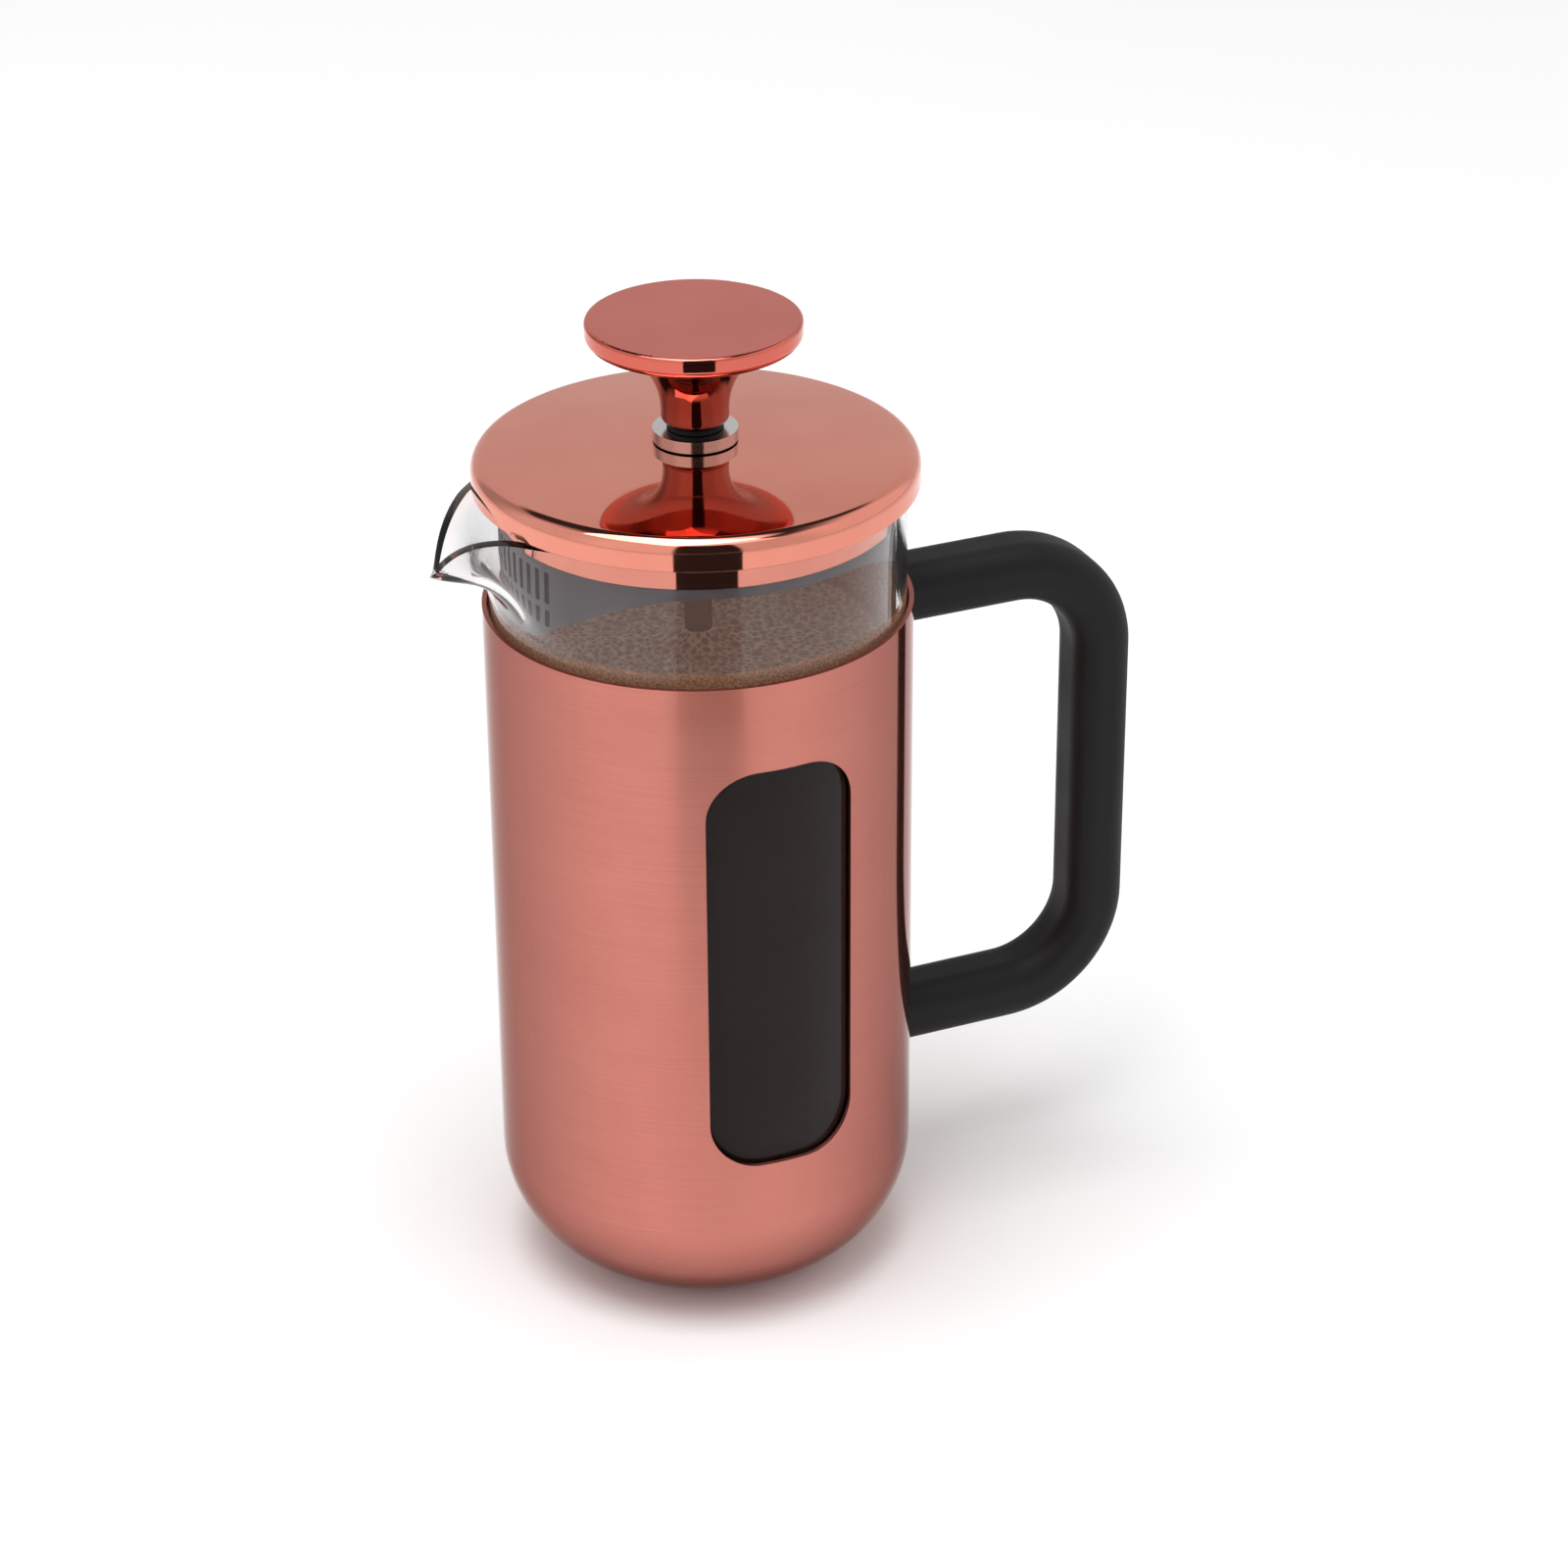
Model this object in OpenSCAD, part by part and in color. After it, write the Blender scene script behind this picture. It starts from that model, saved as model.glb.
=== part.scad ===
// French press with a glass beaker in a copper finished metal sleeve.
// The beaker's axis is Z. The handle points to +X, the spout to -X and the two windows to +Y and -Y.
// The origin is the centre of the flat base. All sizes are in millimetres.

/* [Sleeve] */
// Outer radius of the metal sleeve
sleeve_r = 36; // [35.9:0.05:36.2]
// Height of the sleeve's rim above its base
sleeve_h = 124.5; // [120:0.5:130]
// Thickness of the sheet metal
sleeve_wall = 0.8; // [0.6:0.1:0.9]
// Radius of the rounding between wall and base
base_round = 21; // [19:0.5:24]
// Width of each window across the wall
window_w = 25.8; // [20:0.2:30]
// Height of each window
window_h = 75; // [60:1:80]
// Distance from the rim down to the top of a window
window_drop = 15.5; // [14:0.5:20]
// Radius of a window's corners
window_corner = 8.6; // [5:0.2:10]

/* [Handle] */
// Width of the grip, across the plane of the handle
grip_w = 12; // [10:0.5:14]
// Thickness of the grip, in the plane of the handle
grip_t = 10.5; // [9:0.5:12]
// Radius of the grip's long edges
grip_round = 4; // [3:0.25:4.25]
// Distance from the sleeve's axis to the middle of the vertical grip
grip_x = 74.6; // [68:0.2:80]
// Radius of the two bends, measured to the middle of the grip
bend_r = 17; // [14:0.5:20]
// Distance from the sleeve's rim down to the middle of the upper arm
arm_top_drop = 5.7; // [5.7:0.1:8]
// Distance from the sleeve's rim down to the middle of the lower arm
arm_low_drop = 88.4; // [80:0.2:90]

/* [Handle fastenings] */
// Radius of the screws' shanks
screw_r = 1.95; // [1.5:0.05:2]
// Radius of the screws' countersunk heads
screw_head_r = 3.6; // [3:0.1:3.6]
// Distance that each screw reaches beyond the sleeve's outer face
screw_reach = 14; // [12:0.5:16]
// Outer radius of the threaded inserts
insert_r = 3; // [2.6:0.1:3.2]
// Length of the threaded inserts
insert_len = 10; // [6:0.5:11]

/* [Beaker] */
// Outer radius of the glass
glass_r = 34.85; // [34.6:0.05:34.85]
// Thickness of the glass
glass_wall = 1.7; // [1.5:0.1:1.8]
// Height of the glass rim above the sleeve's rim
glass_stand = 21; // [20:0.5:24]
// Height of the beaker's bottom above the table
glass_lift = 3.1; // [3:0.1:4]
// Distance from the axis to the tip of the spout
spout_reach = 46.8; // [45:0.2:48]
// Height of the spout's tip above the sleeve's rim
spout_tip_rise = 11.4; // [10:0.2:13]
// Half of the angle that the spout takes out of the rim
spout_angle = 33; // [28:1:36]

/* [Lid] */
// Outer radius of the lid
lid_r = 37; // [36.6:0.1:38]
// Height of the lid's straight side
lid_side = 2.7; // [2:0.1:3.5]
// Radius of the lid's rounded shoulder
lid_edge = 2.6; // [2:0.1:3]
// Rise of the domed top above the shoulder
lid_rise = 1.7; // [1.2:0.1:2.4]
// Thickness of the lid's metal
lid_wall = 1; // [0.8:0.1:1.1]
// Depth of the metal ring inside the glass
ring_depth = 4.3; // [4:0.1:6]
// Depth of the strainer skirt at the spout, below the glass rim
skirt_depth = 17.7; // [17:0.1:20]
// Height of the arches in the strainer skirt
skirt_arch = 11.6; // [8:0.2:12.2]
// Number of slots in each row of the strainer
slot_count = 11; // [5:2:11]

/* [Plunger] */
// Radius of the rod
rod_r = 2.35; // [2:0.05:2.4]
// Radius of the knob's disc
knob_r = 17.8; // [15:0.1:20]
// Thickness of the knob's disc
knob_t = 3.7; // [3.5:0.1:5]
// Height of the knob's neck
neck_h = 14.1; // [13:0.1:15]
// Radius of the knob's neck
neck_r = 5.65; // [5:0.05:6]
// Radius of the hollow curve from the neck to the disc
neck_flare = 12; // [11:0.5:13]
// Radius of the collar on the lid
collar_r = 7.05; // [6.5:0.05:8]
// Height of the mesh disc above the table, with the plunger down
mesh_z = 21.2; // [21:0.2:24]
// Distance that the plunger rises
plunger_travel = 101; // [90:0.5:101]

/* [Hidden] */
$fn = 96;

EPS = 0.01;                                 // overlap of joined shapes
CUT = 1;                                    // how far a cutting shape runs past a face
RUN = 0.06;                                 // radial clearance of a running fit
GAP = 0.3;                                  // gap between bodies that move past each other
SNUG = 0.03;                                // radial clearance of a pressed or screwed piece

COPPER = [0.80, 0.45, 0.38];
STEEL = [0.75, 0.75, 0.76];
BLACK = [0.10, 0.09, 0.10];
GREY = [0.37, 0.35, 0.36];

// Handle
arm_z = [sleeve_h - arm_top_drop, sleeve_h - arm_low_drop];
pocket_r = screw_head_r + 0.5;              // the pressed pocket that holds a screw's head
pocket_depth = 1.6;                         // how far a pocket stands out of the sleeve
head_h = screw_head_r - screw_r;            // 90 degree countersink

// Beaker and lid
glass_round = glass_r - (sleeve_r - base_round);
rim_z = sleeve_h + glass_stand;
lid_z = rim_z + GAP;
lid_h = lid_side + lid_edge;                // height of the lid's side and shoulder
lid_top = lid_z + lid_h + lid_rise;
dome_r = (pow(lid_r - lid_edge, 2) + pow(lid_rise, 2)) / (2 * lid_rise) + lid_edge;
ring_out = glass_r - glass_wall - 0.35;
ring_wall = 0.8;
cap_in = lid_r - 1.6;                       // radius of the hollow under the lid's top
ring_t = 0.9;                               // thickness of the ring's flange
web_z = lid_z + ring_t + 0.1;
web_t = 1.2;
web_r = cap_in - 1.2;
skirt_t = 1.3;
skirt_z = rim_z - skirt_depth;
arch_r = 22;                                // radius of an arch's round ends
arch_flat = 12;                             // half of the length of an arch's flat top
slot_w = 1.1;
slot_step = 4.2;                            // degrees between slots
slot_rows = [[2.4, 2.8], [6.4, 5.5]];       // each row's height above the skirt's lower edge, and length

// Rod guide
collar_h = 2;
guide_r = 3.4;
guide_z = web_z - 5.6;                      // lower end of the guide
collar_z = lid_top + 0.2;
washer_t = 0.6;
nut_h = 2.8;
nut_r = 6.2;                                // across the corners

// Plunger
stop_t = 0.8;
stop_r = 4.7;
stop_z = collar_z + collar_h + 0.15;
knob_z = stop_z + stop_t + 0.1;
thread_r = 1.95;
knob_thread = 10;                           // depth of the rod's thread in the knob
neck_end = 1.2;                             // rounding of the neck's lower end
knob_low = 1.6;                             // rounding of the disc's lower edge
knob_high = 0.6;                            // rounding of the disc's upper edge
mesh_t = 0.4;
mesh_r = glass_r - glass_wall - 0.45;
mesh_rim = 3.4;
coil_r = 1.5;
spring_r = mesh_r - mesh_t - coil_r - 0.15;
plate_t = 0.6;
plate_z = mesh_z + mesh_t + 1.2;
plate_r = spring_r - coil_r - 0.1;
boss_r = 7;
cross_t = 0.8;
cross_r = 27;
hub_h = 7;
hub_r = 4.6;
filter_nut_h = 4.6;
filter_nut_r = 6.4;
rod_end = mesh_z - cross_t - filter_nut_h + 0.6;

// A rectangle centred on the origin, with round corners of radius r
module rounded_rect(w, h, r) {
    square([w - 2 * r, h], center = true);
    square([w, h - 2 * r], center = true);
    for (x = [-1, 1], y = [-1, 1])
        translate([x * (w / 2 - r), y * (h / 2 - r)])
            circle(r);
}

// Half of a cup's outline: radius r, height h and a base rounded by round
module cup_outline(r, h, round) {
    intersection() {
        square([r, h]);
        union() {
            translate([0, round])
                square([r, h]);
            square([r - round, h]);
            translate([r - round, round])
                circle(round);
        }
    }
}

// A shape turned to lie along +X, starting at distance x from the axis and height z
module along_x(x, z) {
    translate([x, 0, z])
        rotate([0, 90, 0])
            children();
}

module window_cut() {
    translate([0, 0, sleeve_h - window_drop - window_h / 2])
        rotate([90, 0, 0])
            linear_extrude(2 * sleeve_r + 2 * CUT, center = true)
                rounded_rect(window_w, window_h, window_corner);
}

module sleeve() {
    color(COPPER)
        difference() {
            union() {
                rotate_extrude()
                    difference() {
                        cup_outline(sleeve_r, sleeve_h, base_round);
                        translate([0, sleeve_wall])
                            cup_outline(sleeve_r - sleeve_wall, sleeve_h, base_round - sleeve_wall);
                    }
                for (z = arm_z)
                    along_x(sleeve_r - sleeve_wall + 0.2, z)
                        cylinder(r = pocket_r, h = pocket_depth + sleeve_wall - 0.2);
            }
            window_cut();
            for (z = arm_z) {
                along_x(sleeve_r - sleeve_wall, z)
                    cylinder(r1 = screw_head_r + SNUG, r2 = screw_r + SNUG, h = head_h);
                along_x(sleeve_r - sleeve_wall - CUT, z)
                    cylinder(r = screw_head_r + SNUG, h = CUT + EPS);
                along_x(sleeve_r - sleeve_wall, z)
                    cylinder(r = screw_r + SNUG, h = pocket_depth + 2 * CUT);
            }
        }
}

module grip_bend(z, start) {
    translate([grip_x - bend_r, 0, z])
        rotate([90, 0, 0])
            rotate([0, 0, start])
                rotate_extrude(angle = 90)
                    translate([bend_r, 0])
                        rounded_rect(grip_t, grip_w, grip_round);
}

module handle() {
    arm_len = grip_x - bend_r - sleeve_r + 4;
    color(BLACK)
        difference() {
            union() {
                for (z = arm_z)
                    along_x(sleeve_r - 4, z)
                        linear_extrude(arm_len)
                            rounded_rect(grip_t, grip_w, grip_round);
                grip_bend(arm_z[0] - bend_r, 0);
                grip_bend(arm_z[1] + bend_r, 270);
                translate([grip_x, 0, arm_z[1] + bend_r])
                    linear_extrude(arm_z[0] - arm_z[1] - 2 * bend_r)
                        rounded_rect(grip_t, grip_w, grip_round);
            }
            cylinder(r = sleeve_r + SNUG, h = sleeve_h + CUT);
            for (z = arm_z) {
                along_x(sleeve_r - 4, z)
                    cylinder(r = pocket_r + SNUG, h = 4 + pocket_depth + SNUG);
                along_x(sleeve_r - 4, z)
                    cylinder(r = insert_r, h = 4 + screw_reach + 1);
            }
        }
}

module handle_screw(z) {
    head_x = sleeve_r - sleeve_wall + SNUG;
    color(STEEL)
        difference() {
            union() {
                along_x(head_x, z)
                    cylinder(r1 = screw_head_r, r2 = screw_r, h = head_h);
                along_x(head_x, z)
                    cylinder(r = screw_r, h = screw_reach + sleeve_wall - SNUG);
            }
            along_x(head_x - CUT, z)
                cylinder(r = 1.1, h = CUT + 1.2, $fn = 6);
        }
}

module upper_screw() {
    handle_screw(arm_z[0]);
}

module lower_screw() {
    handle_screw(arm_z[1]);
}

module threaded_insert(z) {
    color("goldenrod")
        along_x(sleeve_r + screw_reach - insert_len, z)
            difference() {
                cylinder(r = insert_r - SNUG, h = insert_len);
                translate([0, 0, -CUT])
                    cylinder(r = screw_r + SNUG, h = insert_len + 2 * CUT);
            }
}

module upper_insert() {
    threaded_insert(arm_z[0]);
}

module lower_insert() {
    threaded_insert(arm_z[1]);
}

// Soft pad between the sleeve's base and the glass
module beaker_cushion() {
    pad_z = sleeve_wall + GAP;
    color(GREY)
        translate([0, 0, pad_z])
            difference() {
                cylinder(r = 12, h = glass_lift - GAP - pad_z);
                translate([0, 0, -CUT])
                    cylinder(r = 5, h = glass_lift + CUT);
            }
}

// Outside of the spout, or with inset > 0 the hollow inside it, which runs up to open_top above the rim
module spout_shape(inset, open_top) {
    ball = 0.85;
    tip_r = 1.4;
    tip_x = spout_reach - tip_r - inset * 0.9;
    root_r = glass_r - ball - inset;
    lip_r = 41 - inset;
    hull() {
        for (up = [0, open_top])
            translate([-tip_x, 0, sleeve_h + spout_tip_rise + inset + up])
                sphere(r = max(tip_r - inset, 0.4), $fn = 20);
        for (up = [0, open_top], a = [-11, 11])
            rotate([0, 0, a])
                translate([-lip_r, 0, sleeve_h + 18 + up])
                    sphere(r = ball, $fn = 20);
        for (a = [-spout_angle + 2 * inset, spout_angle - 2 * inset])
            rotate([0, 0, a])
                translate([-root_r, 0, rim_z - ball + open_top])
                    sphere(r = ball, $fn = 20);
        translate([-38 + inset, 0, sleeve_h + 10 + inset])
            sphere(r = ball, $fn = 20);
        translate([-root_r, 0, sleeve_h + 5 + inset])
            sphere(r = ball, $fn = 20);
    }
}

module beaker() {
    glass_h = rim_z - glass_lift;
    color([0.85, 0.9, 0.9, 0.35])
        difference() {
            union() {
                translate([0, 0, glass_lift])
                    rotate_extrude()
                        cup_outline(glass_r, glass_h, glass_round);
                intersection() {
                    spout_shape(0, 0);
                    cylinder(r = spout_reach, h = rim_z);
                }
            }
            translate([0, 0, glass_lift + glass_wall])
                rotate_extrude()
                    cup_outline(glass_r - glass_wall, glass_h, glass_round - glass_wall);
            spout_shape(glass_wall - 0.3, 8);
        }
}

// Outline of the lid's domed top, d below its surface
module dome_outline(d) {
    translate([0, lid_top - dome_r])
        circle(dome_r - d, $fn = 720);
}

module lid_cap() {
    shoulder_r = lid_r - lid_edge;
    blend_r = shoulder_r * dome_r / (dome_r - lid_edge); // where the dome meets the shoulder
    color(COPPER)
        rotate_extrude()
            difference() {
                intersection() {
                    dome_outline(0);
                    union() {
                        translate([0, lid_z])
                            square([blend_r, 2 * lid_h]);
                        translate([0, lid_z])
                            square([lid_r, lid_side]);
                        translate([shoulder_r, lid_z + lid_side])
                            circle(lid_edge);
                    }
                }
                intersection() {
                    dome_outline(lid_wall);
                    union() {
                        square([blend_r, 2 * lid_top]);
                        square([lid_r - lid_wall, lid_z + lid_side]);
                        translate([shoulder_r, lid_z + lid_side])
                            circle(lid_edge - lid_wall);
                    }
                    translate([0, lid_z - CUT])
                        square([cap_in, 2 * lid_h]);
                }
                translate([0, lid_z - CUT])
                    square([guide_r + RUN, 4 * lid_h]);
            }
}

// Metal ring that closes the lid's edge and stands in the glass rim
module lid_ring() {
    color(COPPER)
        rotate_extrude()
            union() {
                translate([ring_out - ring_wall, rim_z - ring_depth])
                    square([ring_wall, ring_depth + GAP + ring_t]);
                translate([ring_out - ring_wall, lid_z])
                    square([cap_in - SNUG - ring_out + ring_wall, ring_t]);
            }
}

module skirt_outline() {
    neck_out = ring_out - ring_wall - SNUG;
    translate([ring_out - skirt_t, skirt_z])
        square([skirt_t, skirt_depth - ring_depth - 0.1]);
    translate([neck_out - skirt_t, rim_z - ring_depth - 1])
        square([skirt_t, ring_depth + 1 + web_z - rim_z + EPS]);
    translate([neck_out - skirt_t, rim_z - ring_depth - 1])
        square([ring_out - neck_out + skirt_t, 0.9]);
    translate([guide_r + RUN, web_z])
        square([web_r - guide_r - RUN, web_t]);
}

// Plastic skirt under the lid, with a strainer on the spout's side
module lid_insert() {
    color(GREY)
        difference() {
            rotate_extrude()
                skirt_outline();
            translate([0, 0, skirt_z + skirt_arch - arch_r])
                rotate([90, 0, 0])
                    linear_extrude(2 * lid_r, center = true) {
                        for (side = [-1, 1])
                            translate([side * arch_flat, 0])
                                circle(arch_r);
                        translate([-arch_flat, 0])
                            square([2 * arch_flat, arch_r]);
                    }
            for (i = [0 : slot_count - 1], row = slot_rows)
                rotate([0, 0, (i - (slot_count - 1) / 2) * slot_step])
                    translate([-ring_out - CUT, -slot_w / 2, skirt_z + row[0]])
                        cube([skirt_t + 2 * CUT, slot_w, row[1]]);
        }
}

module rod_bushing() {
    color(STEEL)
        difference() {
            union() {
                translate([0, 0, collar_z])
                    cylinder(r = collar_r, h = collar_h);
                translate([0, 0, guide_z])
                    cylinder(r = guide_r, h = collar_z - guide_z + EPS);
            }
            translate([0, 0, guide_z - CUT])
                cylinder(r = rod_r + RUN, h = collar_z - guide_z + collar_h + 2 * CUT);
        }
}

module bushing_washer() {
    color(STEEL)
        translate([0, 0, web_z - 0.25 - washer_t])
            difference() {
                cylinder(r = 6, h = washer_t);
                translate([0, 0, -CUT])
                    cylinder(r = guide_r + SNUG, h = washer_t + 2 * CUT);
            }
}

module bushing_nut() {
    color(STEEL)
        translate([0, 0, web_z - 0.25 - washer_t - nut_h])
            difference() {
                cylinder(r = nut_r, h = nut_h, $fn = 6);
                translate([0, 0, -CUT])
                    cylinder(r = guide_r + SNUG, h = nut_h + 2 * CUT);
            }
}

module knob_outline() {
    flare_out = neck_r + neck_flare - (knob_r - knob_low);
    flare_z = neck_h - sqrt(pow(neck_flare, 2) - pow(flare_out, 2));
    translate([0, neck_h])
        square([knob_r - knob_low, knob_t]);
    translate([0, neck_h + knob_low])
        square([knob_r, knob_t - knob_low - knob_high]);
    translate([0, neck_h + knob_low])
        square([knob_r - knob_high, knob_t - knob_low]);
    translate([knob_r - knob_low, neck_h + knob_low])
        circle(knob_low);
    translate([knob_r - knob_high, neck_h + knob_t - knob_high])
        circle(knob_high);
    translate([0, neck_end])
        square([neck_r, neck_h - neck_end + EPS]);
    square([neck_r - neck_end, neck_h]);
    translate([neck_r - neck_end, neck_end])
        circle(neck_end);
    difference() {
        translate([0, flare_z])
            square([knob_r - knob_low, neck_h - flare_z + EPS]);
        translate([neck_r + neck_flare, flare_z])
            circle(neck_flare);
    }
}

module knob() {
    color(COPPER)
        translate([0, 0, knob_z])
            difference() {
                rotate_extrude()
                    knob_outline();
                translate([0, 0, -CUT])
                    cylinder(r = thread_r + SNUG, h = knob_thread + CUT + 0.5);
            }
}

module stop_washer() {
    color(BLACK)
        translate([0, 0, stop_z])
            difference() {
                cylinder(r = stop_r, h = stop_t);
                translate([0, 0, -CUT])
                    cylinder(r = rod_r + RUN, h = stop_t + 2 * CUT);
            }
}

module plunger_rod() {
    color(STEEL)
        union() {
            translate([0, 0, rod_end])
                cylinder(r = thread_r, h = knob_z + knob_thread - rod_end);
            translate([0, 0, plate_z + plate_t])
                cylinder(r = rod_r, h = knob_z - SNUG - plate_z - plate_t);
        }
}

// Collar that the filter is clamped against
module rod_hub() {
    color(STEEL)
        translate([0, 0, plate_z + plate_t])
            difference() {
                union() {
                    cylinder(r = hub_r, h = hub_h - 2);
                    translate([0, 0, hub_h - 2])
                        cylinder(r1 = hub_r, r2 = rod_r + 0.8, h = 2);
                }
                translate([0, 0, -CUT])
                    cylinder(r = rod_r + SNUG, h = hub_h + 2 * CUT);
            }
}

// Perforated plate that carries the spring on its edge
module spiral_plate() {
    color(STEEL)
        difference() {
            union() {
                translate([0, 0, plate_z])
                    cylinder(r = plate_r, h = plate_t);
                translate([0, 0, mesh_z + mesh_t])
                    cylinder(r = boss_r, h = plate_z - mesh_z - mesh_t + EPS);
            }
            translate([0, 0, mesh_z])
                cylinder(r = thread_r + SNUG, h = plate_z);
            for (a = [0 : 30 : 330])
                rotate([0, 0, a])
                    translate([(boss_r + plate_r) / 2 - 4, 0, plate_z - CUT])
                        cylinder(r = 2.2, h = plate_t + 2 * CUT);
            for (a = [9 : 18 : 351])
                rotate([0, 0, a])
                    translate([plate_r - 5, 0, plate_z - CUT])
                        cylinder(r = 2.2, h = plate_t + 2 * CUT);
        }
}

// Envelope of the coil spring that seals the filter's edge
module filter_spring() {
    color(STEEL)
        translate([0, 0, mesh_z + mesh_t + coil_r + 0.1])
            rotate_extrude()
                translate([spring_r, 0])
                    circle(coil_r);
}

module filter_mesh() {
    color(STEEL)
        translate([0, 0, mesh_z])
            difference() {
                cylinder(r = mesh_r, h = mesh_rim);
                translate([0, 0, mesh_t])
                    cylinder(r = mesh_r - mesh_t, h = mesh_rim);
                translate([0, 0, -CUT])
                    cylinder(r = thread_r + SNUG, h = mesh_t + 2 * CUT);
            }
}

module cross_plate() {
    arm_w = 6;
    color(STEEL)
        translate([0, 0, mesh_z - cross_t])
            linear_extrude(cross_t)
                difference() {
                    circle(cross_r);
                    difference() {
                        circle(cross_r - 3.5);
                        circle(9);
                        square([2 * cross_r, arm_w], center = true);
                        square([arm_w, 2 * cross_r], center = true);
                    }
                    circle(thread_r + SNUG);
                }
}

module filter_nut() {
    nut_z = mesh_z - cross_t - filter_nut_h;
    color(STEEL)
        translate([0, 0, nut_z])
            difference() {
                union() {
                    cylinder(r = filter_nut_r, h = filter_nut_h);
                    translate([0, 0, filter_nut_h - 1.2])
                        cylinder(r = 8.5, h = 1.2);
                }
                translate([0, 0, 0.5])
                    cylinder(r = thread_r + SNUG, h = filter_nut_h);
            }
}

sleeve();
handle();
upper_screw();
lower_screw();
upper_insert();
lower_insert();
beaker_cushion();
beaker();
lid_cap();
lid_ring();
lid_insert();
rod_bushing();
bushing_washer();
bushing_nut();
knob();
stop_washer();
plunger_rod();
rod_hub();
spiral_plate();
filter_spring();
filter_mesh();
cross_plate();
filter_nut();
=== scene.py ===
"""A french press: glass beaker in a copper sleeve, seen as in a product photograph."""
import math
import random

import bmesh
import bpy
from mathutils import Matrix, Vector, noise


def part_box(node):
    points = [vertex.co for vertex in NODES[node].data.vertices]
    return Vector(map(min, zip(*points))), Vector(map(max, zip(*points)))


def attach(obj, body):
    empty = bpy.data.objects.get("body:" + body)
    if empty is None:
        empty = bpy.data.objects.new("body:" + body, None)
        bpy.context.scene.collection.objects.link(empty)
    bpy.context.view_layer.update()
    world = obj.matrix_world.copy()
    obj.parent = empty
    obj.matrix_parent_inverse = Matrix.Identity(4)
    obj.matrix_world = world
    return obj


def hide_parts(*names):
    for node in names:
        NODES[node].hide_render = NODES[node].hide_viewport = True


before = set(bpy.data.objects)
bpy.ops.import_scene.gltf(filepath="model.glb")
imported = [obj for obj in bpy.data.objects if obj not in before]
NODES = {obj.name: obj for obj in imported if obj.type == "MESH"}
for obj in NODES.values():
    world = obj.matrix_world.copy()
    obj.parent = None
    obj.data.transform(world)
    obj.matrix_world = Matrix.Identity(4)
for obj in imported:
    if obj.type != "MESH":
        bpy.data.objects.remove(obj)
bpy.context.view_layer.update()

MM = 0.001

# ---------------------------------------------------------------- sizes from the frame

BEAKER_LOW, BEAKER_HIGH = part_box("beaker")
LID_LOW, LID_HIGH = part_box("lid_cap")
MESH_LOW, MESH_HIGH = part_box("filter_mesh")
SPRING_LOW, SPRING_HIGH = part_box("filter_spring")

SLEEVE_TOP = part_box("sleeve")[1].z
ROD_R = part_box("plunger_rod")[1].y
GLASS_R = BEAKER_HIGH.y
GLASS_TOP = BEAKER_HIGH.z
GLASS_LOW = BEAKER_LOW.z
GLASS_WALL = 1.7 * MM
GLASS_IN = GLASS_R - GLASS_WALL


# ---------------------------------------------------------------- numbers

def mix(a, b, t):
    return a + (b - a) * t


def smoothstep(t):
    t = min(1.0, max(0.0, t))
    return t * t * (3 - 2 * t)


def cubic(p0, p1, p2, p3, t):
    s = 1 - t
    return p0 * s**3 + p1 * (3 * s * s * t) + p2 * (3 * s * t * t) + p3 * t**3


def spread(first, last, count):
    """Values from first to last, in count even steps."""
    return [mix(first, last, i / count) for i in range(count + 1)]


def arc(middle_r, middle_z, radius, turns):
    """Points (radius, height) round a middle. A turn of zero is straight above it."""
    return [(middle_r + radius * math.sin(turn), middle_z + radius * math.cos(turn)) for turn in turns]


# ---------------------------------------------------------------- mesh helpers

SHARP = math.radians(40)


def new_object(name, bm, smooth=True):
    """A mesh object made from a bmesh, with outward normals. Edges sharper than SHARP stay sharp."""
    bmesh.ops.recalc_face_normals(bm, faces=bm.faces)
    for edge in bm.edges:
        edge.smooth = edge.calc_face_angle(0.0) < SHARP
    mesh = bpy.data.meshes.new(name)
    bm.to_mesh(mesh)
    bm.free()
    if smooth:
        mesh.shade_smooth()
    piece = bpy.data.objects.new(name, mesh)
    bpy.context.scene.collection.objects.link(piece)
    return piece


def grid_faces(bm, rows, closed):
    """Quads between rows of vertices. closed joins the end of each row to its start."""
    for low, high in zip(rows[:-1], rows[1:]):
        count = len(low)
        for i in range(count if closed else count - 1):
            j = (i + 1) % count
            bm.faces.new((low[i], low[j], high[j], high[i]))


def circle(bm, r, z, count):
    """Vertices evenly round the axis."""
    ring = []
    for i in range(count):
        turn = 2 * math.pi * i / count
        ring.append(bm.verts.new((r * math.cos(turn), r * math.sin(turn), z)))
    return ring


def revolve(name, profile, count):
    """A closed ring solid from a profile of (radius, height)."""
    bm = bmesh.new()
    rows = [circle(bm, r, z, count) for r, z in profile]
    rows.append(rows[0])
    grid_faces(bm, rows, closed=True)
    return new_object(name, bm)


def closed_tube(name, points, radius, sides):
    """A round wire along a closed line of points."""
    bm = bmesh.new()
    rows = []
    normal = None
    for i, point in enumerate(points):
        along = (points[(i + 1) % len(points)] - points[i - 1]).normalized()
        if normal is None:
            normal = along.orthogonal().normalized()
        normal = (normal - along * normal.dot(along)).normalized()
        side = along.cross(normal)
        rows.append([bm.verts.new(point + (normal * math.cos(a) + side * math.sin(a)) * radius)
                     for a in (2 * math.pi * k / sides for k in range(sides))])
    rows.append(rows[0])
    grid_faces(bm, rows, closed=True)
    return new_object(name, bm)


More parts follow.
